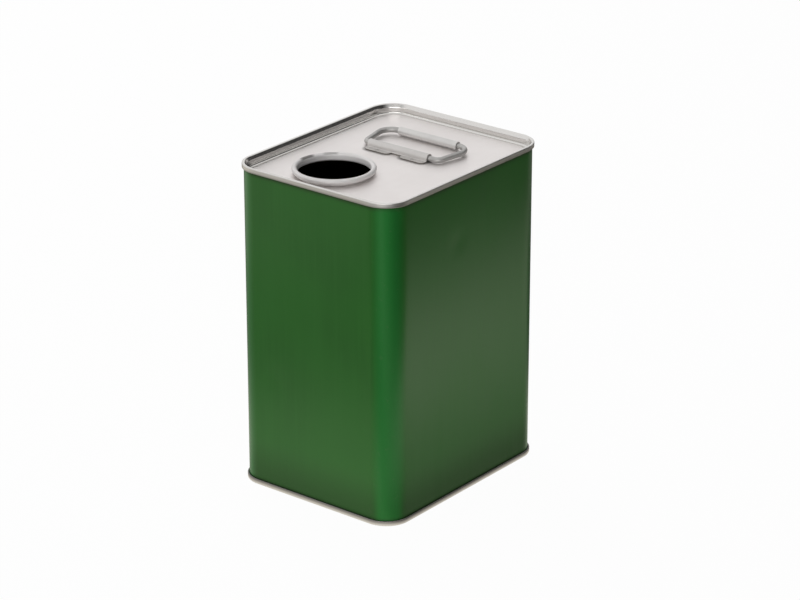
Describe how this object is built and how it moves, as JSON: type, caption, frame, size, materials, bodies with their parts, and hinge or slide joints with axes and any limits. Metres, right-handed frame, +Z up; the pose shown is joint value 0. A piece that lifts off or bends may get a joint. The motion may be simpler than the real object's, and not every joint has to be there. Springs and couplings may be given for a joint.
{
  "type": "oil tin",
  "caption": "Rectangular lacquered oil tin with seamed ends, an open round pouring mouth with a curled collar in the sunk lid, and a folding wire handle in a welded clip.",
  "frame": {"origin": "middle of the base, on the plane that the bottom seam stands on", "axes": "+Z up, +Y along the wide faces from the mouth towards the handle, +X across the narrow faces"},
  "size_m": [0.1182, 0.1458, 0.2],
  "materials": {
    "green_lacquer": "satin green lacquer rolled on tinplate",
    "tinplate": "bright bare tinplate",
    "sealing_compound": "dried lining compound",
    "clip_steel": "stamped tinned steel",
    "wire_steel": "drawn galvanised wire",
    "grip_tinplate": "rolled tinplate"
  },
  "bodies": {
    "tin": {"body_sleeve": "green_lacquer", "top_end": "tinplate", "bottom_end": "tinplate", "top_seam_compound": "sealing_compound", "bottom_seam_compound": "sealing_compound", "handle_clip": "clip_steel"},
    "handle": {"handle_bail": "wire_steel", "handle_grip": "grip_tinplate"}
  },
  "joints": [
    {"name": "handle_swing", "type": "hinge", "parent": "tin", "child": "handle", "pos_m": [-0.002, 0.012, 0.1965], "axis": [1, 0, 0], "range_deg": [0, 165]}
  ]
}
